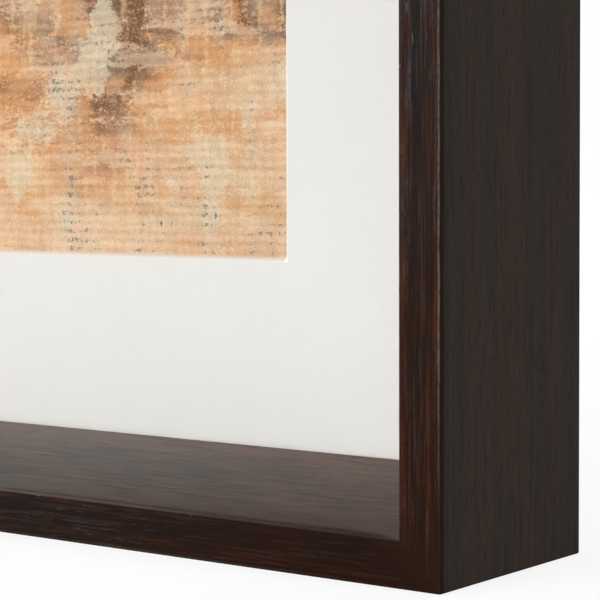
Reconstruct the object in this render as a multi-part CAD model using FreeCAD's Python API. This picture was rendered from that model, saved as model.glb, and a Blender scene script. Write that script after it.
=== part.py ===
"""A deep wooden box frame for one print, standing or hung, built as it comes apart on a bench.

Millimetres. +Z is up and the front faces -Y. The origin is the middle of the bottom rail's underside.
"""

import FreeCAD, Part
import math
import os

from FreeCAD import Placement, Rotation, Vector

# The sheets that the frame holds: a 16 x 20 inch package, portrait.
package_width = 406.4
package_height = 508.0
package_clearance = 1.5  # beside the package; it rests on the rabbet's floor, so twice this is above it

# The frame members' section.
face_width = 12.0  # front face
lip_width = 25.2  # from the outer face to the end of the canted inner face, against the glazing
recess_depth = 38.5  # from the front face to the glazing
rabbet_wall = 18.5  # wall beside the sheets, and the width of the back face
arris_radius = 0.5

# The sheets, from the lip backwards.
glazing_thickness = 2.0
mat_thickness = 1.4
print_thickness = 0.4
mount_board_thickness = 1.4
backing_thickness = 5.0
strainer_depth = 16.0
back_panel_thickness = 3.0

# The mat's window at the back of its bevel, and the lap of the 12 x 16 inch print behind it.
window_width = 290.5
window_height = 392.1
print_lap = 7.15

# Paper hinges that hold the print's top edge to the mount board.
hinge_width = 25.0
hinge_height = 20.0
hinge_thickness = 0.15
hinge_lap = 7.0  # behind the print
hinge_inset = 60.0  # from the window's sides

# Strainer.
strainer_width = 20.0

# V-nails across the mitres, their heads flush with the back.
nail_leg = 6.0
nail_gauge = 0.6
nail_height = 10.0
nail_edge = 5.0  # from the frame's outer face to its outer nail
nail_margin = 1.5  # from its inner nail to the rabbet

# Strainer screws: countersunk, through a bar into the wall beside it.
strainer_screw_radius = 1.75
strainer_screw_head_radius = 3.5
strainer_screw_head_height = 2.2
strainer_screw_point = 3.5
strainer_screw_bite = 8.5  # into the wall
strainer_screw_inset = 60.0  # from the package's corners

# Pan head screws on the back, for the turn-buttons and the hangers.
pan_screw_radius = 1.5
pan_screw_bite = 14.0
pan_screw_point = 2.5
pan_head_radius = 3.2
pan_head_height = 2.0
pan_head_crown = 1.2  # rounding of the head's rim
pan_slot_width = 0.7
pan_slot_depth = 0.7
pan_slot_reach = 1.9
point_radius = 0.2  # of every screw's tip

# Turn-buttons.
button_thickness = 1.5
button_lap = 13.0  # over the back panel
button_root_radius = 6.0
button_tip_radius = 4.0
button_edge_radius = 0.4
button_inset = 114.0  # of the stiles' buttons, from the frame's top and bottom
running_clearance = 0.05  # radial, on a shank or a ring's bar
face_clearance = 0.1  # under and over a button

# Strap hangers with D-rings.
strap_width = 9.0
strap_thickness = 1.0
strap_tail = 5.0  # below the lower screw
strap_corner_radius = 3.6
strap_hole_radius = 1.75
strap_screw_pitch = 14.0
strap_seam = 0.3  # where the rolled eye's end stands off the strap
ring_wire_radius = 1.1
ring_side_play = 0.9
ring_corner_radius = 2.2
ring_leg = 3.5
ring_rest_tilt = 1.5  # degrees, out from the strap
ring_screw_gap = 1.4  # from the ring's bow to the head of the upper screw
hanger_drop = 165.0  # from the frame's top down to the ring's bar

# Rubber wall bumpers.
bumper_radius = 5.0
bumper_proud = 0.5  # beyond the hangers
bumper_edge_radius = 1.0
bumper_height = 26.0

# Worked out from the values above.
package_depth = (
    glazing_thickness
    + mat_thickness
    + print_thickness
    + mount_board_thickness
    + backing_thickness
    + strainer_depth
    + back_panel_thickness
)
frame_depth = recess_depth + package_depth
frame_width = package_width + 2 * (package_clearance + rabbet_wall)
frame_height = package_height + 2 * (package_clearance + rabbet_wall)
front_y = -frame_depth / 2
back_y = frame_depth / 2
middle_z = frame_height / 2
package_middle_z = rabbet_wall + package_height / 2
hardware_inset = rabbet_wall / 2  # everything on the back sits along the middle of the back face
hardware_x = frame_width / 2 - hardware_inset

button_reach = rabbet_wall - hardware_inset + package_clearance + button_lap - button_tip_radius
eye_radius = ring_wire_radius + running_clearance
eye_height = strap_thickness + eye_radius  # the ring's bar above the frame's back
eye_outer_radius = eye_radius + strap_thickness
ring_radius = strap_width / 2 + ring_side_play + ring_corner_radius
ring_reach = ring_corner_radius + ring_leg + ring_radius + ring_wire_radius
strap_first_screw = ring_reach + ring_screw_gap + pan_head_radius
strap_screw_drops = (strap_first_screw, strap_first_screw + strap_screw_pitch)
strap_length = strap_screw_drops[1] + strap_tail
hanger_z = frame_height - hanger_drop
bumper_thickness = eye_height + eye_outer_radius + bumper_proud

# Each side's turn about Y from a member that lies along X with its inner face up.
SIDE_TURNS = {"bottom": 0, "right": -90, "top": 180, "left": 90}
FRAME_MEMBERS = {
    "bottom": "frame_bottom_rail",
    "right": "frame_right_stile",
    "top": "frame_top_rail",
    "left": "frame_left_stile",
}
HANDS = (("left", -1), ("right", 1))


def side_half(side, width, height):
    """Half of an upright rectangle's width for its top and bottom, and of its height for its sides."""
    return width / 2 if side in ("bottom", "top") else height / 2


def onto_side(shape, side, width, height, centre_z):
    """Moves a shape that lies on z = 0, along X, to one side of an upright rectangle."""
    rotation = Rotation(Vector(0, 1, 0), SIDE_TURNS[side])
    distance = side_half(side, height, width)
    middle = rotation.multVec(Vector(0, 0, -distance))
    shape.Placement = Placement(middle + Vector(0, 0, centre_z), rotation)
    return shape


def onto_frame(shape, side):
    return onto_side(shape, side, frame_width, frame_height, middle_z)


def onto_package(shape, side):
    return onto_side(shape, side, package_width, package_height, package_middle_z)


def flat_outline(points):
    return Part.Face(Part.makePolygon(points + [points[0]]))


def block(low, high):
    """A box between two corners."""
    size = high - low
    return Part.makeBox(size.x, size.y, size.z, low)


def edges_within(shape, test):
    """The edges whose two ends both pass a test."""
    return [edge for edge in shape.Edges if all(test(vertex) for vertex in edge.Vertexes)]


def same(a, b):
    return abs(a - b) < 1e-6


def package_sheet(front, thickness):
    """A sheet of the package's size, resting on the rabbet's floor."""
    low = Vector(-package_width / 2, front, package_middle_z - package_height / 2)
    return Part.makeBox(package_width, thickness, package_height, low)


def mitred_bar(length, width, front, back):
    """A plain bar on z = 0, along X, with a mitre at each end."""
    half = length / 2
    plan = [
        Vector(-half, front, 0),
        Vector(half, front, 0),
        Vector(half - width, front, width),
        Vector(width - half, front, width),
    ]
    return flat_outline(plan).extrude(Vector(0, back - front, 0))


def frame_envelope():
    """The frame's outside, with every arris eased."""
    low = Vector(-frame_width / 2, front_y, 0)
    high = Vector(frame_width / 2, back_y, frame_height)
    outside = block(low, high)
    return outside.makeFillet(arris_radius, outside.Edges)


def moulding(length):
    """The frame's section drawn out along X on z = 0, with its inner front arris eased."""
    half = length / 2
    lip_y = front_y + recess_depth
    section = [
        Vector(-half, front_y, 0),
        Vector(-half, front_y, face_width),
        Vector(-half, lip_y, lip_width),
        Vector(-half, lip_y, rabbet_wall),
        Vector(-half, back_y, rabbet_wall),
        Vector(-half, back_y, 0),
    ]
    solid = flat_outline(section).extrude(Vector(length, 0, 0))
    inner_arris = edges_within(solid, lambda v: same(v.Y, front_y) and same(v.Z, face_width))
    return solid.makeFillet(arris_radius, inner_arris)


def frame_member(side, envelope, fasteners):
    length = 2 * side_half(side, frame_width, frame_height)
    mitres = mitred_bar(length, lip_width, front_y, back_y)
    member = onto_frame(moulding(length).common(mitres), side)
    return member.common(envelope).cut(fasteners)


def strainer_bar(side, front, fasteners):
    length = 2 * side_half(side, package_width, package_height)
    bar = mitred_bar(length, strainer_width, front, front + strainer_depth)
    return onto_package(bar, side).cut(fasteners)


def window_mat(front):
    """White mat board with its window cut at 45 degrees, wider at the front."""

    def window(y, grow):
        half_width = window_width / 2 + grow
        half_height = window_height / 2 + grow
        corners = [
            Vector(sx * half_width, y, middle_z + sz * half_height)
            for sx, sz in ((-1, -1), (1, -1), (1, 1), (-1, 1))
        ]
        return Part.makePolygon(corners + [corners[0]])

    back = front + mat_thickness
    cutter = Part.makeLoft([window(front, mat_thickness), window(back, 0)], True, True)
    return package_sheet(front, mat_thickness).cut(cutter)


def art_print(front):
    half_width = window_width / 2 + print_lap
    half_height = window_height / 2 + print_lap
    return block(
        Vector(-half_width, front, middle_z - half_height),
        Vector(half_width, front + print_thickness, middle_z + half_height),
    )


def print_hinges(front):
    """Strips of paper tape let into the mount board, their lower ends behind the print."""
    low = middle_z + window_height / 2 + print_lap - hinge_lap
    strips = []
    for _, sign in HANDS:
        x = sign * (window_width / 2 - hinge_inset)
        strips.append(
            block(
                Vector(x - hinge_width / 2, front, low),
                Vector(x + hinge_width / 2, front + hinge_thickness, low + hinge_height),
            )
        )
    return strips


def v_nail(corner, inwards_x, inwards_z, offset):
    """A V of thin steel across a mitre, its point towards the corner and a leg in each member."""
    outline = [
        (0, 0),
        (nail_leg, 0),
        (nail_leg, nail_gauge),
        (nail_gauge, nail_gauge),
        (nail_gauge, nail_leg),
        (0, nail_leg),
    ]
    points = [
        corner + Vector(inwards_x * (offset + across), -nail_height, inwards_z * (offset + up))
        for across, up in outline
    ]
    return flat_outline(points).extrude(Vector(0, nail_height, 0))


def mitre_nails(width, height, centre_z, back, offsets):
    """V-nails along the four mitres of an upright rectangle."""
    nails = []
    for sign_x in (-1, 1):
        for sign_z in (-1, 1):
            corner = Vector(sign_x * width / 2, back, centre_z + sign_z * height / 2)
            nails += [v_nail(corner, -sign_x, -sign_z, offset) for offset in offsets]
    return nails


def screw_shank(radius, length, point):
    """A shank down from z = 0 with a pointed end."""
    shank = Part.makeCylinder(radius, length - point, Vector(0, 0, point - length))
    return shank.fuse(Part.makeCone(point_radius, radius, point, Vector(0, 0, -length)))


def strainer_screw(side, along, y):
    """A countersunk screw from a bar's inner face out into the frame's wall."""
    length = strainer_width + package_clearance + strainer_screw_bite
    head = Part.makeCone(
        strainer_screw_radius,
        strainer_screw_head_radius,
        strainer_screw_head_height,
        Vector(0, 0, -strainer_screw_head_height),
    )
    screw = head.fuse(screw_shank(strainer_screw_radius, length, strainer_screw_point))
    screw = screw.removeSplitter()
    screw.translate(Vector(along, y, strainer_width))
    return onto_package(Part.makeCompound([screw]), side).Solids[0]


def pan_screw(x, z, seat):
    """A pan head screw into the frame's back, its head's underside at y = seat."""
    head = Part.makeCylinder(pan_head_radius, pan_head_height)
    rim = edges_within(head, lambda v: same(v.Z, pan_head_height) and v.X > 0)
    head = head.makeFillet(pan_head_crown, [edge for edge in rim if edge.Closed])
    slot_half = pan_slot_width / 2
    floor = pan_head_height - pan_slot_depth
    above = 2 * pan_head_height
    slot = block(
        Vector(-pan_slot_reach, -slot_half, floor), Vector(pan_slot_reach, slot_half, above)
    )
    cross_slot = block(
        Vector(-slot_half, -pan_slot_reach, floor), Vector(slot_half, pan_slot_reach, above)
    )
    head = head.cut(slot.fuse(cross_slot))
    length = seat - back_y + pan_screw_bite
    screw = head.fuse(screw_shank(pan_screw_radius, length, pan_screw_point)).removeSplitter()
    screw.Placement = Placement(Vector(x, seat, z), Rotation(Vector(1, 0, 0), -90))
    return screw


def button_places():
    """Each turn-button's name, side, and its screw's x and z."""
    high = frame_height - button_inset
    low = button_inset
    return [
        ("turn_button_top", "top", 0, frame_height - hardware_inset),
        ("turn_button_bottom", "bottom", 0, hardware_inset),
        ("turn_button_left_upper", "left", -hardware_x, high),
        ("turn_button_left_lower", "left", -hardware_x, low),
        ("turn_button_right_upper", "right", hardware_x, high),
        ("turn_button_right_lower", "right", hardware_x, low),
    ]


def turn_button(side, x, z):
    """A tapered steel tongue that turns on its screw, its tip over the back panel."""
    under = back_y + face_clearance
    over = under + button_thickness
    root, tip = button_root_radius, button_tip_radius
    taper = math.asin((root - tip) / button_reach)
    cosine, sine = math.cos(taper), math.sin(taper)
    root_right = Vector(root * cosine, under, root * sine)
    root_left = Vector(-root * cosine, under, root * sine)
    tip_right = Vector(tip * cosine, under, button_reach + tip * sine)
    tip_left = Vector(-tip * cosine, under, button_reach + tip * sine)
    outline = [
        Part.makeLine(root_right, tip_right),
        Part.Arc(tip_right, Vector(0, under, button_reach + tip), tip_left).toShape(),
        Part.makeLine(tip_left, root_left),
        Part.Arc(root_left, Vector(0, under, -root), root_right).toShape(),
    ]
    tongue = Part.Face(Part.Wire(outline)).extrude(Vector(0, button_thickness, 0))
    tongue = tongue.makeFillet(button_edge_radius, edges_within(tongue, lambda v: same(v.Y, over)))
    hole_radius = pan_screw_radius + running_clearance
    hole = Part.makeCylinder(
        hole_radius, button_thickness, Vector(0, under, 0), Vector(0, 1, 0)
    )
    tongue = tongue.cut(hole)
    turn = Rotation(Vector(0, 1, 0), SIDE_TURNS[side])
    tongue.Placement = Placement(Vector(x, 0, z), turn)
    return tongue


def hanger_strap(sign):
    """A steel strap whose top is rolled into the eye that carries the D-ring."""
    half = strap_width / 2
    face = back_y + strap_thickness
    plate = block(Vector(-half, back_y, -strap_length), Vector(half, face, 0))
    foot = edges_within(plate, lambda v: same(v.Z, -strap_length))
    corners = [edge for edge in foot if same(edge.Length, strap_thickness)]
    plate = plate.makeFillet(strap_corner_radius, corners)
    axis_start = Vector(-half, back_y + eye_height, 0)
    roll = Part.makeCylinder(eye_outer_radius, strap_width, axis_start, Vector(1, 0, 0))
    bore = Part.makeCylinder(eye_radius, strap_width, axis_start, Vector(1, 0, 0))
    seam = block(
        Vector(-half, face, -eye_outer_radius), Vector(half, face + strap_seam, -eye_radius / 2)
    )
    strap = plate.fuse(roll).cut(bore).cut(seam).removeSplitter()
    for drop in strap_screw_drops:
        hole = Part.makeCylinder(
            strap_hole_radius, strap_thickness, Vector(0, back_y, -drop), Vector(0, 1, 0)
        )
        strap = strap.cut(hole)
    strap.translate(Vector(sign * hardware_x, 0, hanger_z))
    return strap


def hanger_ring(sign):
    """A closed D of round wire, hanging by its straight bar."""
    corner = ring_corner_radius
    eased = corner * (1 - math.sqrt(0.5))
    side_x = ring_radius
    bar_x = ring_radius - corner
    bow_z = -(corner + ring_leg)

    def arc(*points):
        return Part.Arc(*(Vector(x, 0, z) for x, z in points)).toShape()

    def run(start, end):
        return Part.makeLine(Vector(start[0], 0, start[1]), Vector(end[0], 0, end[1]))

    path = Part.Wire(
        [
            run((-bar_x, 0), (bar_x, 0)),
            arc((bar_x, 0), (side_x - eased, -eased), (side_x, -corner)),
            run((side_x, -corner), (side_x, bow_z)),
            arc((side_x, bow_z), (0, bow_z - ring_radius), (-side_x, bow_z)),
            run((-side_x, bow_z), (-side_x, -corner)),
            arc((-side_x, -corner), (eased - side_x, -eased), (-bar_x, 0)),
        ]
    )
    wire_section = Part.makeCircle(ring_wire_radius, Vector(-bar_x, 0, 0), Vector(1, 0, 0))
    ring = path.makePipeShell([Part.Wire(wire_section)], True, False)
    ring.Placement = Placement(
        Vector(sign * hardware_x, back_y + eye_height, hanger_z),
        Rotation(Vector(1, 0, 0), ring_rest_tilt),
    )
    return ring


def bumper(sign):
    """A round rubber pad near a lower back corner."""
    foot = Vector(sign * hardware_x, back_y, bumper_height)
    pad = Part.makeCylinder(bumper_radius, bumper_thickness, foot, Vector(0, 1, 0))
    rim = edges_within(pad, lambda v: same(v.Y, back_y + bumper_thickness))
    return pad.makeFillet(bumper_edge_radius, rim)


def add_sheets(nodes):
    """The package from front to back. Returns the front of its strainer."""
    y = front_y + recess_depth
    nodes["glazing_sheet"] = package_sheet(y, glazing_thickness)
    y += glazing_thickness
    nodes["window_mat"] = window_mat(y)
    y += mat_thickness
    nodes["art_print"] = art_print(y)
    y += print_thickness
    hinges = print_hinges(y)
    nodes["print_hinges"] = Part.makeCompound(hinges)
    nodes["mount_board"] = package_sheet(y, mount_board_thickness).cut(hinges)
    y += mount_board_thickness
    nodes["backing_board"] = package_sheet(y, backing_thickness)
    y += backing_thickness
    nodes["back_panel"] = package_sheet(y + strainer_depth, back_panel_thickness)
    return y


def add_wood(nodes, strainer_front):
    """The frame's members and the strainer's bars, with the fasteners that are driven into them."""
    frame_offsets = (nail_edge, rabbet_wall - nail_margin - nail_leg)
    frame_nails = mitre_nails(frame_width, frame_height, middle_z, back_y, frame_offsets)
    strainer_nails = mitre_nails(
        package_width,
        package_height,
        package_middle_z,
        strainer_front + strainer_depth,
        ((strainer_width - nail_leg) / 2,),
    )
    strainer_screws = []
    for side in SIDE_TURNS:
        along = side_half(side, package_width, package_height) - strainer_screw_inset
        for _, sign in HANDS:
            screw_y = strainer_front + strainer_depth / 2
            strainer_screws.append(strainer_screw(side, sign * along, screw_y))
    button_seat = back_y + button_thickness + 2 * face_clearance
    button_screws = [pan_screw(x, z, button_seat) for _, _, x, z in button_places()]
    strap_screws = [
        pan_screw(sign * hardware_x, hanger_z - drop, back_y + strap_thickness)
        for _, sign in HANDS
        for drop in strap_screw_drops
    ]
    nodes["corner_v_nails"] = Part.makeCompound(frame_nails)
    nodes["strainer_v_nails"] = Part.makeCompound(strainer_nails)
    nodes["strainer_screws"] = Part.makeCompound(strainer_screws)
    nodes["turn_button_screws"] = Part.makeCompound(button_screws)
    nodes["hanger_screws"] = Part.makeCompound(strap_screws)

    in_frame = frame_nails + strainer_screws + button_screws + strap_screws
    in_strainer = strainer_nails + strainer_screws
    envelope = frame_envelope()
    for side, name in FRAME_MEMBERS.items():
        nodes[name] = frame_member(side, envelope, in_frame)
        nodes[f"strainer_{side}_bar"] = strainer_bar(side, strainer_front, in_strainer)


def add_hardware(nodes):
    for name, side, x, z in button_places():
        nodes[name] = turn_button(side, x, z)
    for hand, sign in HANDS:
        nodes[f"hanger_strap_{hand}"] = hanger_strap(sign)
        nodes[f"hanger_ring_{hand}"] = hanger_ring(sign)
        nodes[f"bumper_{hand}"] = bumper(sign)


def export(nodes):
    os.makedirs("parts", exist_ok=True)
    for name, shape in nodes.items():
        if not shape.isValid() or not shape.Solids:
            raise RuntimeError(f"{name} isn't a sound solid")
        shape.exportStep(f"parts/{name}.step")
        low, high = shape.BoundBox.getPoint(4), shape.BoundBox.getPoint(2)
        print(f"{name:24s} {len(shape.Solids):2d} solids {shape.Volume:12.1f} mm3", low, high)


nodes = {}
add_wood(nodes, add_sheets(nodes))
add_hardware(nodes)
export(nodes)
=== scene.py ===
import math

import bmesh
import bpy
from mathutils import Euler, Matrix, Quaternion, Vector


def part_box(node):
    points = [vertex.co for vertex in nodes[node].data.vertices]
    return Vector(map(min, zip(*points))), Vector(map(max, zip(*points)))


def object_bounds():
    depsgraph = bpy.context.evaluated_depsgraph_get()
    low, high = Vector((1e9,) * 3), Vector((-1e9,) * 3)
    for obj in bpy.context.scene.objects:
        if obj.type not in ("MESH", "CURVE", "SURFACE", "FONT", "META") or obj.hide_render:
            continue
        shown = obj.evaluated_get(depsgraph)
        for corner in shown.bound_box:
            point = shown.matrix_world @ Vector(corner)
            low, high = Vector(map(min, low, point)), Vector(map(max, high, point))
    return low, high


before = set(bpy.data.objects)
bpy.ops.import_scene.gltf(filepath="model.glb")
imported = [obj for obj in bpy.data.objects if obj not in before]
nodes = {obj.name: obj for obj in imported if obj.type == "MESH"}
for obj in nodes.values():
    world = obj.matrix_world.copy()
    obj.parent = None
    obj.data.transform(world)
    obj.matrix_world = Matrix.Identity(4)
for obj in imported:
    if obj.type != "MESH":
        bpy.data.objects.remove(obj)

cad_low, cad_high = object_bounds()

MM = 1000.0  # millimetres in a metre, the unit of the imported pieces

# Lines of the frame that its finishes follow, in millimetres, most of them read from its pieces.
stile_low, stile_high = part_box("frame_right_stile")
rail_low, rail_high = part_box("frame_bottom_rail")
mat_low, mat_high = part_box("window_mat")
print_low, print_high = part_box("art_print")

HALF_WIDTH = MM * stile_high.x
HALF_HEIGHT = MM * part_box("frame_top_rail")[1].z / 2
FRONT = MM * stile_low.y
DEPTH = MM * (stile_high.y - stile_low.y)
RECESS = MM * (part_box("glazing_sheet")[0].y - stile_low.y)
LIP = MM * (rail_high.z - rail_low.z)
FACE = 12.0  # the width of a member's front face
MAT_FRONT = MM * mat_low.y
MAT_BACK = MM * mat_high.y
HALF_WINDOW = MM * min(abs(corner.co.x) for corner in nodes["window_mat"].data.vertices)
PRINT_MIDDLE = MM * (print_low.z + print_high.z) / 2

# Lengths that belong to the finishes alone, in millimetres.
SHEEN_FADE_REACH = 165.0  # how far from a corner of the frame the painted shade reaches that darkens and warms the stain where its sheen fades, and the lacquer changes its tone
STRATA = 406.0  # the height that the print's painted strata fill
ROW = 2.65  # the canvas's pitch from row to row
YARN = 3.3  # from yarn to yarn along a row
THREAD = 1.15  # from thread to thread of a yarn
RING = 3.4  # the pine's pitch from growth ring to growth ring

LAMP_SIZE = 1.6  # metres, as the floor's radius is
FLOOR_RADIUS = 8.0


def srgb(red, green, blue):
    """A colour in the parts of 255 that a paint card gives, as linear RGBA."""
    parts = []
    for part in (red / 255, green / 255, blue / 255):
        if part <= 0.04045:
            parts.append(part / 12.92)
        else:
            parts.append(((part + 0.055) / 1.055) ** 2.4)
    return (*parts, 1.0)


def grey(level):
    return (level, level, level, 1.0)


# ---- Shader nodes ----


class Wire:
    """A node's output that takes part in Python arithmetic."""

    def __init__(self, graph, socket):
        self.graph = graph
        self.socket = socket

    def maths(self, operation, *values):
        return self.graph.node("Math", {"operation": operation}, dict(enumerate(values)))

    def __add__(self, other):
        return self.maths("ADD", self, other)

    def __radd__(self, other):
        return self.maths("ADD", other, self)

    def __sub__(self, other):
        return self.maths("SUBTRACT", self, other)

    def __rsub__(self, other):
        return self.maths("SUBTRACT", other, self)

    def __mul__(self, other):
        return self.maths("MULTIPLY", self, other)

    def __rmul__(self, other):
        return self.maths("MULTIPLY", other, self)

    def __truediv__(self, other):
        return self.maths("DIVIDE", self, other)

    def __rtruediv__(self, other):
        return self.maths("DIVIDE", other, self)

    def __abs__(self):
        return self.maths("ABSOLUTE", self)

    def power(self, exponent):
        return self.maths("POWER", self, exponent)

    def at_least(self, other):
        return self.maths("MAXIMUM", self, other)

    def at_most(self, other):
        return self.maths("MINIMUM", self, other)

    def wave(self, length):
        """A sine between 0 and 1 that comes round once in each length."""
        return self.maths("SINE", self * (2 * math.pi / length)) * 0.5 + 0.5

    def output(self, key):
        return Wire(self.graph, self.socket.node.outputs[key])


class Graph:
    """The node tree of one material, or of the world."""

    def __init__(self, owner):
        self.owner = owner
        owner.use_nodes = True
        self.tree = owner.node_tree
        self.tree.nodes.clear()

    def node(self, kind, settings=None, values=None, output=0):
        made = self.tree.nodes.new("ShaderNode" + kind)
        for name, setting in (settings or {}).items():
            if name == "stops":
                self.set_stops(made.color_ramp.elements, setting)
            else:
                setattr(made, name, setting)
        for key, value in (values or {}).items():
            if isinstance(value, Wire):
                self.tree.links.new(value.socket, made.inputs[key])
            else:
                made.inputs[key].default_value = value
        if not made.outputs:
            return None
        return Wire(self, made.outputs[output])

    def set_stops(self, elements, stops):
        while len(elements) < len(stops):
            elements.new(1.0)
        for element, (place, colour) in zip(elements, stops):
            element.position = place
            element.color = colour

    def mix(self, factor, first, second):
        """From the first colour, at 0, to the second, at 1."""
        return self.node("Mix", {"data_type": "RGBA"}, {0: factor, 6: first, 7: second}, 2)

    def tint(self, colour, factor, amount=1.0):
        """A colour multiplied by a factor that may vary."""
        settings = {"data_type": "RGBA", "blend_type": "MULTIPLY"}
        return self.node("Mix", settings, {0: amount, 6: colour, 7: factor}, 2)

    def smooth(self, value, low, high):
        """0 below low, 1 above high, eased between them; turned round where low is the larger."""
        values = {"Value": value, "From Min": low, "From Max": high}
        return self.node("MapRange", {"interpolation_type": "SMOOTHSTEP"}, values)

    def ramp(self, value, stops):
        return self.node("ValToRGB", {"stops": stops}, {"Fac": value})

    def place(self):
        """The object's own coordinates, in millimetres."""
        spot = self.node("TexCoord").output("Object")
        return self.node("VectorMath", {"operation": "SCALE"}, {0: spot, "Scale": MM})

    def split(self, vector):
        parts = self.node("SeparateXYZ", None, {0: vector})
        return parts, parts.output(1), parts.output(2)

    def join(self, x, y, z):
        return self.node("CombineXYZ", None, {0: x, 1: y, 2: z})

    def noise(self, spot, lengths, seed, detail=2.0, roughness=0.5):
        """Noise whose blotches have about the given lengths along each axis, in millimetres."""
        sizes = tuple(1.0 / length for length in lengths)
        shift = (seed * 1.7, seed * 2.3 + 5.0, seed * 3.1 - 2.0)
        scaled = self.node("VectorMath", {"operation": "MULTIPLY_ADD"}, {0: spot, 1: sizes, 2: shift})
        values = {"Vector": scaled, "Scale": 1.0, "Detail": detail, "Roughness": roughness}
        return self.node("TexNoise", None, values)

    def bump(self, height, depth, strength=1.0):
        """A normal from a height of 0 to 1, depth millimetres deep."""
        values = {"Height": height, "Distance": depth / MM, "Strength": strength}
        return self.node("Bump", None, values)

    def surface(self, values):
        shader = self.node("BsdfPrincipled", None, values)
        self.node("OutputMaterial", None, {"Surface": shader})
        return self.owner


def material(name):
    return Graph(bpy.data.materials.new(name))


# ---- Stained wood ----


class MemberPlace:
    """Where a point of a frame member is: lengths in millimetres, and 0 to 1 for each surface.

    along and across are its coordinates lengthwise and crosswise. wall is how far it is in from the
    outer side, front how far back from the face, and reach how far in from the member's nearer end.
    inner is how much wood is left on the way in to the canted wall, and 0 on the wall itself.
    """

    def __init__(self, graph, grain):
        x, y, z = graph.split(graph.place())
        side = HALF_WIDTH - abs(x)
        end = HALF_HEIGHT - abs(z - HALF_HEIGHT)
        if grain == "Z":
            self.along, self.across, self.wall, self.reach = z, x, side, end
        else:
            self.along, self.across, self.wall, self.reach = x, z, end, side
        self.front = y - FRONT
        self.inner = self.front * ((LIP - FACE) / RECESS) + FACE - self.wall

        self.on_face = graph.smooth(self.front, 0.45, 0.15) * graph.smooth(self.wall, 0.1, 0.4)
        self.on_side = graph.smooth(self.wall, 0.45, 0.15)
        self.on_back = graph.smooth(self.front, DEPTH - 0.4, DEPTH - 0.1)
        self.on_wall = graph.smooth(self.inner, 0.3, 0.1) * graph.smooth(self.front, RECESS + 0.4, RECESS)
        # corner is 1 near each end, where painted shade darkens and warms the stain and the painted
        # glints and highlights fade, standing for the sheen that fades there.
        self.corner = graph.smooth(self.reach, SHEEN_FADE_REACH, 15.0)


def stained_wood(name, grain, seed, deep, arris_rub_and_highlight):
    """Open-grained hardwood stained espresso, with its grain along X or Z.

    deep is how far the stain has darkened its face, and the last how strongly its outer arris shows its
    wear and a painted highlight.
    """
    graph = material(name)
    at = MemberPlace(graph, grain)
    lines = grain_lines(graph, at, seed)
    pores = graph.smooth(lines["pore"], 0.6, 0.72) * (1.0 - at.on_side * 0.2 - at.on_wall * 0.55)
    colour = graph.mix(pores * 0.5, stain(graph, at, lines, deep), srgb(29, 25, 22))

    # Just behind the inner arris the lacquer is thinned and the colour darkened: painted shade for a
    # rounder arris that reflects less.
    shaded_arris_band = graph.smooth(at.inner, 0.3, 0.1) * graph.smooth(at.front, 2.8, 0.9)
    shaded_arris_band = shaded_arris_band * graph.smooth(at.reach, 12.0, 20.0) * (at.corner * 0.35 + 0.65)
    colour = graph.mix(shaded_arris_band * 0.8, colour, srgb(50, 38, 34))

    height = lines["fibre"] * 0.3 + lines["strand"] * 0.4 + (1 - pores) * 0.5
    return graph.surface({
        "Base Color": rub_and_highlight_arrises(graph, at, lines, arris_rub_and_highlight, colour),
        "Roughness": 0.5 + lines["fibre"] * 0.15,
        "Specular IOR Level": 0.0,
        "Coat Weight": at.on_wall * lacquer(graph, at, lines, pores, shaded_arris_band) + 0.02,
        "Coat Roughness": 0.2,
        "Normal": graph.bump(height, 0.03, 0.6),
    })


def grain_lines(graph, at, seed):
    """Noises drawn out along the grain, named for what they show, from the broadest down."""
    lengths = {
        "cloud": (30.0, 14.0, 14.0),
        "band": (230.0, 6.5, 9.0),
        "streak": (75.0, 1.1, 2.4),
        "strand": (20.0, 0.7, 1.1),
        "fibre": (8.0, 0.42, 0.65),
        "dash": (8.0, 0.6, 0.8),
        "grit": (1.5, 0.55, 0.8),
        "rub": (12.0, 3.0, 3.0),
        "speck": (1.3, 0.5, 0.5),
        "pore": (4.0, 0.55, 0.8),
    }

    # The grain wanders a little from the member's length.
    path = graph.join(at.along, at.across, at.front)
    sway = (graph.noise(path, (110.0, 40.0, 40.0), seed) - 0.5) * 1.8
    lie = graph.join(at.along, at.across + sway, at.front + sway)
    lines = {}
    for number, (line, length) in enumerate(lengths.items()):
        lines[line] = graph.noise(lie, length, seed + number, 1.5)
    return lines


def stain(graph, at, lines, deep):
    """The stain on each surface, with painted shade that warms and darkens it towards the corners where
    its sheen fades, and dark in the mitres themselves.
    """
    colour = graph.mix(at.on_side, wall_stain(graph, at, lines), side_stain_with_painted_light(graph, at, lines))
    colour = graph.mix(at.on_face, colour, face_stain(graph, at, lines, deep))
    mitre = graph.smooth(at.reach - at.wall, 11.0, 1.0) * at.on_face
    colour = graph.mix(mitre * 0.75, colour, srgb(44, 34, 31))
    # Painted shade: the face and inner wall turn warmer and darker towards the corners.
    painted_corner_shade = at.corner * (1.0 - at.on_side).at_most(1.0 - at.on_back)
    colour = graph.tint(colour, srgb(255, 214, 190), painted_corner_shade)
    return graph.mix(at.on_back, colour, back_stain(graph, lines))


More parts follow.
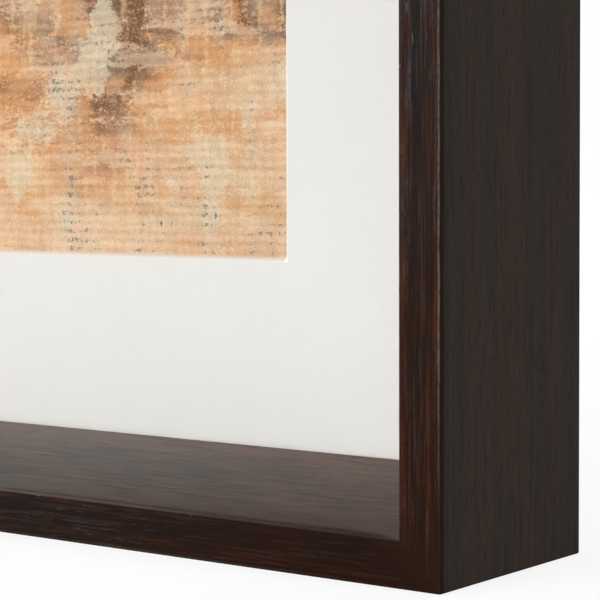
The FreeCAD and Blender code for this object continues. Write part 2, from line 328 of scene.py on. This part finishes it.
def face_stain(graph, at, lines, deep):
    """The front face: coffee brown with thin russet lines, and darker and bluer up its middle."""
    colour = graph.mix(graph.smooth(lines["band"], 0.36, 0.64), srgb(43, 33, 30), srgb(50, 39, 33))
    heart = graph.smooth(abs(at.wall - 6.6), 3.6, 1.2) * graph.smooth(lines["cloud"], 0.3, 0.55)
    colour = graph.mix(heart * 0.75, colour, srgb(35, 34, 35))
    colour = graph.mix(deep, colour, srgb(36, 27, 24))

    # Russet and ashen lines, broken up by the grit of the grain.
    grainy = graph.smooth(lines["grit"], 0.35, 0.6) * 0.6 + 0.4
    streaky = graph.mix(graph.smooth(lines["rub"], 0.42, 0.58), srgb(82, 53, 38), srgb(75, 65, 63))
    russet = graph.smooth(lines["streak"], 0.56, 0.64) * grainy * (1.0 - heart * 0.6)
    colour = graph.mix(russet * (0.8 - deep - at.corner * 0.3), colour, streaky)
    thread = graph.smooth(lines["strand"], 0.53, 0.64) * grainy
    colour = graph.mix(thread * (0.6 - deep * 0.3 - at.corner * 0.15), colour, streaky)
    colour = graph.mix(graph.smooth(lines["strand"], 0.46, 0.36) * 0.4, colour, srgb(32, 29, 31))
    colour = graph.mix(graph.smooth(lines["fibre"], 0.47, 0.33) * 0.5, colour, srgb(28, 23, 22))

    # Painted reflection of the white mat on the rounded inner edge of the face.
    inner_edge_reflection = graph.smooth(at.wall, FACE - 1.6, FACE - 0.6) * graph.smooth(lines["cloud"], 0.25, 0.55)
    colour = graph.mix(inner_edge_reflection * (0.3 - deep * 0.5), colour, srgb(74, 62, 58))
    # Painted glints: small grey-white specks where the pores catch the light.
    painted_glint = graph.smooth(lines["dash"], 0.65, 0.72) * graph.smooth(lines["cloud"], 0.4, 0.6)
    painted_glint = painted_glint + graph.smooth(lines["speck"], 0.7, 0.76) * 0.4
    return graph.mix(painted_glint * (0.62 - deep * 0.5 - at.corner * 0.4), colour, srgb(106, 102, 102))


def side_stain_with_painted_light(graph, at, lines):
    """The outer side: the brown stain under a painted grey reflection that makes it olive black, with
    faint reddish bands, and painted shade darkest beside the front arris.
    """
    # The olive grey is the brown stain with a painted reflection of the bright studio over it.
    colour = graph.mix(graph.smooth(lines["band"], 0.4, 0.62), srgb(47, 44, 39), srgb(52, 45, 40))
    colour = graph.mix(graph.smooth(lines["streak"], 0.48, 0.66) * 0.5, colour, srgb(58, 46, 45))
    colour = graph.mix(graph.smooth(lines["strand"], 0.48, 0.3) * 0.45, colour, srgb(38, 35, 31))
    colour = graph.mix(graph.smooth(lines["fibre"], 0.55, 0.75) * 0.3, colour, srgb(64, 59, 53))
    # Painted shade along the side just behind the front arris.
    arris_shade = graph.smooth(at.front, 3.8, 1.0) * 0.4 + graph.smooth(at.front, 1.8, 0.9) * 0.6
    return graph.mix(arris_shade, colour, srgb(34, 24, 19))


def wall_stain(graph, at, lines):
    """The canted inner wall under its satin lacquer, with painted shade browning it towards the mitres,
    and browner towards the mat.
    """
    colour = graph.mix(graph.smooth(lines["cloud"], 0.38, 0.62), srgb(55, 49, 45), srgb(70, 56, 51))
    colour = graph.mix(graph.smooth(lines["strand"], 0.5, 0.66) * 0.3, colour, srgb(84, 70, 62))
    # Painted shade: tan dashes that grow towards the corners, where the wall's sheen fades.
    tan = graph.smooth(lines["dash"], 0.48, 0.34) * (at.corner * 0.7 + 0.1)
    colour = graph.mix(tan * 0.4, colour, srgb(94, 79, 70))
    colour = graph.mix(graph.smooth(at.front, 26.0, 37.0) * 0.5, colour, srgb(94, 68, 58))
    colour = graph.mix(graph.smooth(at.front, 14.0, 5.0) * 0.4, colour, srgb(50, 48, 43))
    return graph.mix(graph.smooth(lines["strand"], 0.46, 0.3) * 0.3, colour, srgb(36, 30, 27))


def back_stain(graph, lines):
    """The back: one thin coat of the stain, with more of the bare wood's colour."""
    colour = graph.mix(graph.smooth(lines["streak"], 0.35, 0.68), srgb(62, 45, 35), srgb(88, 61, 44))
    return graph.mix(graph.smooth(lines["strand"], 0.5, 0.3) * 0.5, colour, srgb(46, 34, 27))


def rub_and_highlight_arrises(graph, at, lines, arris_rub_and_highlight, colour):
    """The front arrises: a pale line, partly finish thinned by wear and partly a painted highlight, on
    the inner arris also a painted reflection of the mat, most of all away from the mitres; and nicks in
    the finish.
    """
    rub_and_highlight_patches = graph.smooth(lines["rub"], 0.25, 0.6) * 0.4 + 0.6
    gritty = graph.smooth(lines["grit"], 0.3, 0.6) * 0.5 + 0.5
    waver = (lines["rub"] - 0.5) * 0.9
    # Outer arris: finish thinned by wear, with a painted highlight.
    outer = graph.smooth(abs(at.wall - 0.5 + waver), 0.45, 0.1) * at.on_face * gritty * arris_rub_and_highlight
    outer = outer * rub_and_highlight_patches * graph.smooth(at.reach, 12.0, 60.0)
    # Inner arris: finish thinned by wear, with a painted reflection of the white mat.
    inner = graph.smooth(at.front * 0.4 + at.inner * 2.4, 0.48, 0.3) * rub_and_highlight_patches
    inner = inner * (1.0 - at.corner * at.corner * 0.9)
    colour = graph.mix(outer * 0.85, colour, srgb(104, 91, 83))
    colour = graph.mix(inner * 0.5, colour, srgb(100, 86, 82))
    nicks = graph.smooth(lines["speck"], 0.66, 0.74) * graph.smooth(at.front + at.inner, 0.9, 0.4)
    return graph.mix(nicks * (0.5 - at.corner * 0.46), colour, srgb(160, 148, 142))


def lacquer(graph, at, lines, pores, shaded_arris_band):
    """How thick the inner wall's lacquer is: least in the pores, and along the front near a mitre."""
    coat = graph.smooth(lines["strand"], 0.3, 0.6) * 0.12 + graph.smooth(at.front, 6.0, RECESS) * 0.28
    thin = graph.smooth(at.reach, SHEEN_FADE_REACH, 105.0) * graph.smooth(at.reach, 12.0, 34.0) * 0.12 + 0.04
    thin = thin * graph.smooth(at.front, 11.0, 4.5)
    return (coat + 0.51 - at.corner * 0.08 - pores * 0.35 - thin) * (1.0 - shaded_arris_band * 0.85)


# ---- Sheets ----


def mat_board(name):
    """Warm white board with a fine tooth, lifted by painted light towards its outer corners; its cut
    bevel is cream, darkened by painted shade towards the print on the level sides, and palest, with a
    painted highlight, on its uprights.
    """
    graph = material(name)
    spot = graph.place()
    x, y, z = graph.split(spot)
    warmth = graph.noise(spot, (60.0, 60.0, 60.0), 3.0)
    colour = graph.mix(warmth, srgb(237, 235, 231), srgb(238, 236, 231))

    # Painted light: the board is a touch paler towards the outer corners, to offset the shade of the deep
    # recess there.
    from_corner = (HALF_WIDTH - abs(x)).at_least(HALF_HEIGHT - abs(z - HALF_HEIGHT))
    colour = graph.mix(graph.smooth(from_corner, 150.0, 40.0), colour, srgb(246, 244, 240))

    tooth = graph.noise(spot, (0.5, 0.5, 0.5), 4.0, 3.0, 0.6)
    colour = graph.tint(colour, graph.mix(tooth, srgb(251, 251, 251), srgb(255, 255, 255)))

    # The window's cut edge shows the board's cream core, darkened and warmed towards the print by painted
    # shade and painted bounce light from the print.
    core_and_painted_shade = graph.smooth(y, MAT_FRONT + 0.15, MAT_BACK)
    upright = graph.smooth(abs(x), HALF_WINDOW - 0.3, HALF_WINDOW)
    colour = graph.mix(core_and_painted_shade * (1.0 - upright), colour, srgb(221, 204, 190))
    # Painted highlight along the front of the upright bevels.
    cut = graph.smooth(y, MAT_FRONT, MAT_FRONT + 0.2)
    colour = graph.mix(cut * upright, colour, srgb(255, 251, 247))
    return graph.surface({
        "Base Color": colour,
        "Roughness": 0.85,
        "Specular IOR Level": 0.15,
        "Normal": graph.bump(tooth, 0.03, 0.3),
    })


def canvas_print(name):
    """A print on canvas-textured paper: soft, brushed strata in warm earth colours."""
    graph = material(name)
    spot = graph.place()
    x, _, z = graph.split(spot)
    colour = brush_over(graph, spot, strata(graph, spot, z))

    # The canvas under the paint: rows of coarse yarn that wander, with finer threads between.
    wander = graph.noise(spot, (24.0, 24.0, 9.0), 15.0, 3.0) - 0.5
    stray = (graph.noise(spot, (3.6, 3.6, 2.8), 15.2) - 0.5) * 2.0
    row = (z + wander * 2.4 + stray * 0.5).wave(ROW)
    yarn = (x + wander * 3.0 + stray).wave(YARN)
    thread = (x - wander * 2.0).wave(THREAD)
    worked = graph.smooth(graph.noise(spot, (6.0, 6.0, 4.0), 15.5), 0.35, 0.65)
    tooth = graph.noise(spot, (0.75, 0.75, 0.6), 16.0, 2.0, 0.7)
    weave = (row * 0.4 + yarn * 0.16 + thread * 0.16) * (worked * 0.7 + 0.3) + tooth * 0.9

    colour = catch_on_weave(graph, spot, colour, row, weave)
    return graph.surface({
        "Base Color": leave_bare(graph, spot, colour, row, x + wander * 3.0),
        "Roughness": 0.7,
        "Specular IOR Level": 0.25,
        "Normal": graph.bump(weave, 0.14, 0.6),
    })


def strata(graph, spot, z):
    """Broad strata that drift up and down, drawn out sideways like strokes of a wide brush."""
    drift = graph.noise(spot, (95.0, 95.0, 60.0), 11.0)
    stroke = graph.noise(spot, (24.0, 24.0, 6.0), 12.0, 4.0, 0.6)
    level = (z - PRINT_MIDDLE) / STRATA + 0.5 + (drift - 0.5) * 0.3 + (stroke - 0.5) * 0.1
    return graph.ramp(level, [
        (0.02, srgb(231, 188, 154)),
        (0.06, srgb(235, 195, 156)),
        (0.10, srgb(231, 196, 156)),
        (0.14, srgb(214, 150, 94)),
        (0.17, srgb(128, 82, 46)),
        (0.215, srgb(112, 74, 46)),
        (0.25, srgb(186, 142, 98)),
        (0.28, srgb(228, 202, 164)),
        (0.34, srgb(238, 228, 206)),
        (0.43, srgb(218, 172, 122)),
        (0.52, srgb(170, 132, 98)),
        (0.60, srgb(148, 136, 114)),
        (0.70, srgb(220, 202, 172)),
        (0.82, srgb(232, 184, 140)),
        (0.94, srgb(196, 152, 116)),
    ])


def brush_over(graph, spot, colour):
    """Patches of neighbouring hues, and dry strokes, level and upright, dragged over them."""
    shift = graph.noise(spot, (9.0, 9.0, 6.0), 12.5).output(1)
    values = {0: shift, 1: (5.0, 5.0, 5.0), 2: spot}
    bent = graph.node("VectorMath", {"operation": "MULTIPLY_ADD"}, values)
    bristle = (graph.noise(spot, (1.5, 1.5, 0.8), 14.8, 3.0, 0.65) - 0.5) * 0.4
    cream = graph.noise(bent, (22.0, 22.0, 30.0), 13.0) + bristle * 0.6
    rose = graph.noise(bent, (34.0, 34.0, 20.0), 13.3) + bristle * 0.6
    ochre = graph.noise(bent, (28.0, 28.0, 14.0), 13.6) + bristle * 0.6
    colour = graph.mix(graph.smooth(rose, 0.49, 0.58) * 0.4, colour, srgb(235, 182, 144))
    colour = graph.mix(graph.smooth(ochre, 0.53, 0.6) * 0.65, colour, srgb(222, 158, 96))
    colour = graph.mix(graph.smooth(cream, 0.55, 0.61) * 0.6, colour, srgb(230, 218, 190))
    level = graph.noise(bent, (24.0, 24.0, 4.0), 14.0) + bristle
    upright = graph.noise(bent, (3.6, 3.6, 22.0), 14.4) + bristle
    colour = graph.mix(graph.smooth(level, 0.55, 0.63) * 0.4, colour, srgb(246, 214, 180))
    colour = graph.mix(graph.smooth(level, 0.44, 0.36) * 0.35, colour, srgb(212, 166, 120))
    colour = graph.mix(graph.smooth(upright, 0.56, 0.64) * 0.35, colour, srgb(242, 210, 166))
    return graph.mix(graph.smooth(upright, 0.42, 0.34) * 0.3, colour, srgb(208, 160, 120))


def catch_on_weave(graph, spot, colour, row, weave):
    """Paint that is darker down in the weave, with pale and ochre touches along its ridges."""
    shade = graph.ramp(weave, [
        (0.3, srgb(226, 219, 212)),
        (0.62, srgb(246, 243, 240)),
        (0.95, srgb(255, 255, 255)),
    ])
    colour = graph.tint(colour, shade)
    ridge = graph.noise(spot, (0.8, 0.8, 0.5), 16.5, 2.0, 0.6)
    colour = graph.mix(graph.smooth(ridge + row * 0.06, 0.6, 0.74) * 0.45, colour, srgb(255, 238, 212))
    return graph.mix(graph.smooth(ridge - row * 0.06, 0.4, 0.28) * 0.22, colour, srgb(170, 120, 84))


def leave_bare(graph, spot, colour, row, across):
    """Dry hollows between the yarns, where the brush missed and the grey ground shows."""
    dry = graph.smooth(graph.noise(spot, (13.0, 13.0, 34.0), 17.0, 4.0, 0.6), 0.4, 0.68)
    some = graph.noise(spot, (4.0, 4.0, 3.4), 18.0)
    grit = graph.noise(spot, (0.8, 0.8, 1.5), 19.0, 3.0, 0.7)
    slack = (graph.noise(spot, (2.6, 2.6, 1.7), 20.0, 3.0, 0.6) - 0.5) * 11.0
    hollow = (1.0 - row * 0.8) * (across + slack).wave(YARN)
    colour = graph.mix(dry * 0.28, colour, srgb(212, 204, 184))
    bare = graph.smooth(hollow * 0.42 + grit * 0.95 + some * 0.7 + dry * 0.42, 1.4, 1.6)
    ground = graph.mix(graph.smooth(some, 0.4, 0.6), srgb(88, 92, 104), srgb(122, 118, 108))
    return graph.mix(bare * (0.3 + some * 0.8), colour, ground)


def plain_board(name, colour, depth=0.02):
    """Uncoated board or paper, with a faint fibre depth millimetres deep."""
    graph = material(name)
    fibre = graph.noise(graph.place(), (1.2, 1.2, 1.2), 21.0, 4.0, 0.6)
    shade = graph.mix(fibre, srgb(246, 246, 244), srgb(255, 255, 255))
    return graph.surface({
        "Base Color": graph.tint(shade, colour),
        "Roughness": 0.9,
        "Specular IOR Level": 0.15,
        "Normal": graph.bump(fibre, depth, 0.4),
    })


def clear_glazing(name):
    """Anti-reflection glass: clear, with a weak mirror that grows towards a grazing view."""
    graph = material(name)
    ripple = graph.noise(graph.place(), (120.0, 120.0, 120.0), 31.0, 1.0)
    clear = graph.node("BsdfTransparent", None, {"Color": (0.995, 0.998, 0.996, 1.0)})
    values = {"Color": (0.9, 0.93, 1.0, 1.0), "Roughness": 0.18, "Normal": graph.bump(ripple, 0.05, 0.2)}
    mirror = graph.node("BsdfGlossy", None, values)
    facing = graph.node("LayerWeight", None, {"Blend": 0.5}, "Facing")
    shine = facing.power(5.0) * 0.3 + 0.004
    mixed = graph.node("MixShader", None, {0: shine, 1: clear, 2: mirror})
    graph.node("OutputMaterial", None, {"Surface": mixed})
    return graph.owner


# ---- Back and hardware ----


def hardboard(name):
    """Smooth brown hardboard, pressed from dark and light fibres."""
    graph = material(name)
    spot = graph.place()
    cloud = graph.noise(spot, (70.0, 70.0, 70.0), 41.0, 3.0)
    mottle = graph.noise(spot, (2.4, 2.4, 2.4), 42.0, 4.0, 0.7)
    strand = graph.noise(spot, (1.6, 1.6, 0.35), 43.0)
    colour = graph.mix(cloud, srgb(106, 78, 58), srgb(118, 89, 67))
    colour = graph.mix(graph.smooth(mottle, 0.5, 0.72) * 0.5, colour, srgb(142, 111, 84))
    colour = graph.mix(graph.smooth(strand, 0.56, 0.72) * 0.6, colour, srgb(76, 54, 40))
    return graph.surface({
        "Base Color": colour,
        "Roughness": 0.55 + mottle * 0.2,
        "Specular IOR Level": 0.3,
        "Normal": graph.bump(mottle, 0.05, 0.4),
    })


def pine(name, grain):
    """Planed pine, its grain along X or Z: pale early wood between orange lines of late wood."""
    graph = material(name)
    x, y, z = graph.split(graph.place())
    along, across = (z, x) if grain == "Z" else (x, z)
    lie = graph.join(along, across, y)
    wander = graph.noise(lie, (160.0, 18.0, 18.0), 51.0) * 14.0
    ring = (across + y * 0.4 + wander).wave(RING)
    fibre = graph.noise(lie, (12.0, 0.4, 0.4), 52.0)
    colour = graph.mix(ring.power(3.0) * 0.7, srgb(222, 190, 142), srgb(190, 138, 84))
    colour = graph.mix(graph.smooth(fibre, 0.55, 0.75) * 0.3, colour, srgb(180, 140, 96))
    return graph.surface({
        "Base Color": colour,
        "Roughness": 0.65,
        "Specular IOR Level": 0.2,
        "Normal": graph.bump(fibre, 0.04, 0.4),
    })


def plated_steel(name, colour, roughness, wear):
    """Zinc or nickel plate: a fine grain of drawing marks, duller in patches."""
    graph = material(name)
    spot = graph.place()
    marks = graph.noise(spot, (0.25, 0.25, 3.0), 61.0)
    dull = graph.smooth(graph.noise(spot, (4.0, 4.0, 4.0), 62.0, 3.0, 0.6), 0.5, 0.72) * wear
    return graph.surface({
        "Base Color": graph.mix(dull, colour, srgb(112, 111, 107)),
        "Metallic": 1.0,
        "Roughness": roughness + dull * 0.25 + marks * 0.08,
        "Normal": graph.bump(marks, 0.01, 0.3),
    })


def rubber(name):
    """Matt black rubber with a fine moulded grain."""
    graph = material(name)
    spot = graph.place()
    grain = graph.noise(spot, (0.5, 0.5, 0.5), 71.0, 3.0)
    bloom = graph.noise(spot, (3.0, 3.0, 3.0), 72.0)
    return graph.surface({
        "Base Color": graph.mix(bloom, srgb(32, 32, 32), srgb(48, 47, 46)),
        "Roughness": 0.7 + grain * 0.15,
        "Specular IOR Level": 0.35,
        "Normal": graph.bump(grain, 0.03, 0.5),
    })


# ---- What each piece wears ----


def dress(finish, *names):
    for name in names:
        piece = nodes[name]
        piece.data.materials.clear()
        piece.data.materials.append(finish)


def dress_frame():
    """Each member's grain, seed, depth of stain, and wear and painted highlight of its outer arris."""
    members = {
        "bottom_rail": ("X", 1.0, 0.55, 0.25),
        "right_stile": ("Z", 2.0, 0.0, 1.0),
        "top_rail": ("X", 3.0, 0.4, 0.6),
        "left_stile": ("Z", 4.0, 0.1, 0.8),
    }
    for member, look in members.items():
        dress(stained_wood("stained_wood_" + member, *look), "frame_" + member)


def dress_package():
    dress(clear_glazing("glazing"), "glazing_sheet")
    dress(mat_board("mat_board"), "window_mat")
    dress(canvas_print("print_paper"), "art_print")
    dress(plain_board("hinge_paper", srgb(232, 226, 212)), "print_hinges")
    dress(plain_board("mount_board", srgb(235, 232, 224)), "mount_board")
    dress(plain_board("foam_board", srgb(246, 246, 243), 0.05), "backing_board")
    dress(pine("pine_bars", "X"), "strainer_top_bar", "strainer_bottom_bar")
    dress(pine("pine_uprights", "Z"), "strainer_left_bar", "strainer_right_bar")
    dress(hardboard("hardboard"), "back_panel")


def dress_hardware():
    nails = plated_steel("nail_steel", srgb(142, 144, 146), 0.38, 0.5)
    dress(nails, "corner_v_nails", "strainer_v_nails")
    screws = plated_steel("screw_steel", srgb(152, 140, 106), 0.32, 0.4)
    dress(screws, "strainer_screws", "turn_button_screws", "hanger_screws")
    buttons = [name for name in nodes if name.startswith("turn_button_")]
    buttons.remove("turn_button_screws")
    dress(plated_steel("button_steel", srgb(136, 137, 136), 0.36, 0.6), *buttons)
    straps = plated_steel("strap_steel", srgb(134, 134, 133), 0.38, 0.6)
    dress(straps, "hanger_strap_left", "hanger_strap_right")
    rings = plated_steel("ring_steel", srgb(150, 149, 147), 0.24, 0.3)
    dress(rings, "hanger_ring_left", "hanger_ring_right")
    dress(rubber("rubber_pad"), "bumper_left", "bumper_right")


# ---- Floor, light and camera ----


def seen_rays(graph):
    """1 on the rays that show a surface itself: the camera's, and those off metal or through glass."""
    rays = graph.node("LightPath")
    seen = rays.output("Is Camera Ray").at_least(rays.output("Is Glossy Ray"))
    return seen.at_least(rays.output("Is Transmission Ray"))


def lay_floor():
    """A plain white floor that keeps a soft share of the frame's shadow."""
    sheet = bmesh.new()
    bmesh.ops.create_circle(sheet, cap_ends=True, segments=64, radius=FLOOR_RADIUS)
    mesh = bpy.data.meshes.new("floor")
    sheet.to_mesh(mesh)
    sheet.free()
    floor = bpy.data.objects.new("floor", mesh)
    bpy.context.scene.collection.objects.link(floor)

    graph = material("floor_white")
    seen = seen_rays(graph)
    away = graph.node("VectorMath", {"operation": "LENGTH"}, {0: graph.place()}, "Value")
    shadowed = graph.smooth(away, 2600.0, 700.0) * 0.25
    lit = graph.node("BsdfDiffuse", None, {"Color": graph.mix(seen, grey(0.55), grey(0.92))})
    white = graph.node("Emission", None, {"Color": grey(1.0), "Strength": 1.04})
    mixed = graph.node("MixShader", None, {0: seen * (1.0 - shadowed), 1: lit, 2: white})
    graph.node("OutputMaterial", None, {"Surface": mixed})
    mesh.materials.append(graph.owner)


def light_world():
    """White behind the frame and in its reflections, and a softer grey on its surfaces."""
    world = bpy.data.worlds.new("studio")
    graph = Graph(world)
    seen = seen_rays(graph)
    soft = graph.node("Background", None, {"Color": grey(1.0), "Strength": 0.22})
    white = graph.node("Background", None, {"Color": grey(1.0), "Strength": 1.0})
    mixed = graph.node("MixShader", None, {0: seen, 1: soft, 2: white})
    graph.node("OutputWorld", None, {"Surface": mixed})
    bpy.context.scene.world = world


def hang_lamp(name, place, aim, power):
    """A square soft box that faces the point aim."""
    lamp = bpy.data.lights.new(name, "AREA")
    lamp.shape = "SQUARE"
    lamp.size = LAMP_SIZE
    lamp.energy = power
    box = bpy.data.objects.new(name, lamp)
    box.location = place
    away = box.location - aim
    box.rotation_mode = "QUATERNION"
    box.rotation_quaternion = away.to_track_quat("Z", "Y")
    bpy.context.scene.collection.objects.link(box)


def hang_lamps():
    """Each lamp's place, in metres, and its power, in watts."""
    lamps = {
        "key": ((-0.5, -2.4, 0.9), 50.0),
        "right side": ((2.4, -0.3, 0.7), 33.0),
        "left side": ((-2.4, 0.3, 0.7), 33.0),
        "back": ((0.4, 2.4, 0.9), 40.0),
        "top": ((0.0, -0.3, 2.7), 16.0),
    }
    middle = (cad_low + cad_high) / 2
    for name, (place, power) in lamps.items():
        hang_lamp(name, place, middle, power)


def set_camera():
    """A long lens at the lower right corner, from the right and a little above."""
    dip, turn, roll = 2.376, 36.989, -0.166  # degrees: down from level, round from the front, and tilt
    camera = bpy.data.cameras.new("camera")
    camera.sensor_width = 36.0
    camera.lens = 123.48
    camera.shift_y = -0.0667
    eye = bpy.data.objects.new("camera", camera)
    eye.location = (0.49124, -0.44526, 0.10093)
    eye.rotation_mode = "QUATERNION"
    aim = Euler((math.radians(90.0 - dip), 0.0, math.radians(turn))).to_quaternion()
    eye.rotation_quaternion = aim @ Quaternion((0.0, 0.0, 1.0), math.radians(roll))
    bpy.context.scene.collection.objects.link(eye)
    bpy.context.scene.camera = eye


dress_frame()
dress_package()
dress_hardware()
lay_floor()
light_world()
hang_lamps()
set_camera()
bpy.context.scene.view_settings.view_transform = "Standard"
